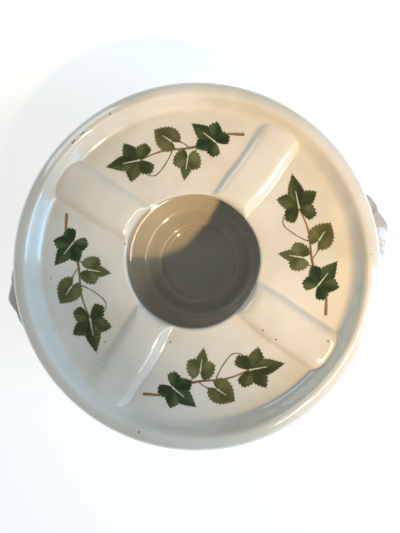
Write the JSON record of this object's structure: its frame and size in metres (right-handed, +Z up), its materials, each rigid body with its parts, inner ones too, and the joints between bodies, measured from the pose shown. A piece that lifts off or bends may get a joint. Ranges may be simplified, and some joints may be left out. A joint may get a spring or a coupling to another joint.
{
  "type": "teapot warmer",
  "caption": "Round glazed porcelain teapot warmer: a ribbed ring-shaped top with a central flue hole lifts off a bowl that holds a tealight and has two small moulded lugs.",
  "frame": {"origin": "on the table, at the centre of the foot ring", "axes": "+Z up along the warmer's axis, +X through the lugs, +Y across them"},
  "size_m": [0.1822, 0.16, 0.072],
  "materials": {
    "glazed_porcelain": "clear gloss glaze over ivory porcelain",
    "leaf_print": "green on-glaze transfer print under a thin gloss",
    "stem_print": "brown on-glaze transfer print under a thin gloss"
  },
  "bodies": {
    "bowl": {"candle_bowl": "glazed_porcelain", "lug_right": "glazed_porcelain", "lug_left": "glazed_porcelain"},
    "ring": {"warming_ring": "glazed_porcelain"}
  },
  "joints": [
    {"name": "ring_lift", "type": "slide", "parent": "bowl", "child": "ring", "axis": [0, 0, 1], "range_m": [0, 0.06]}
  ]
}
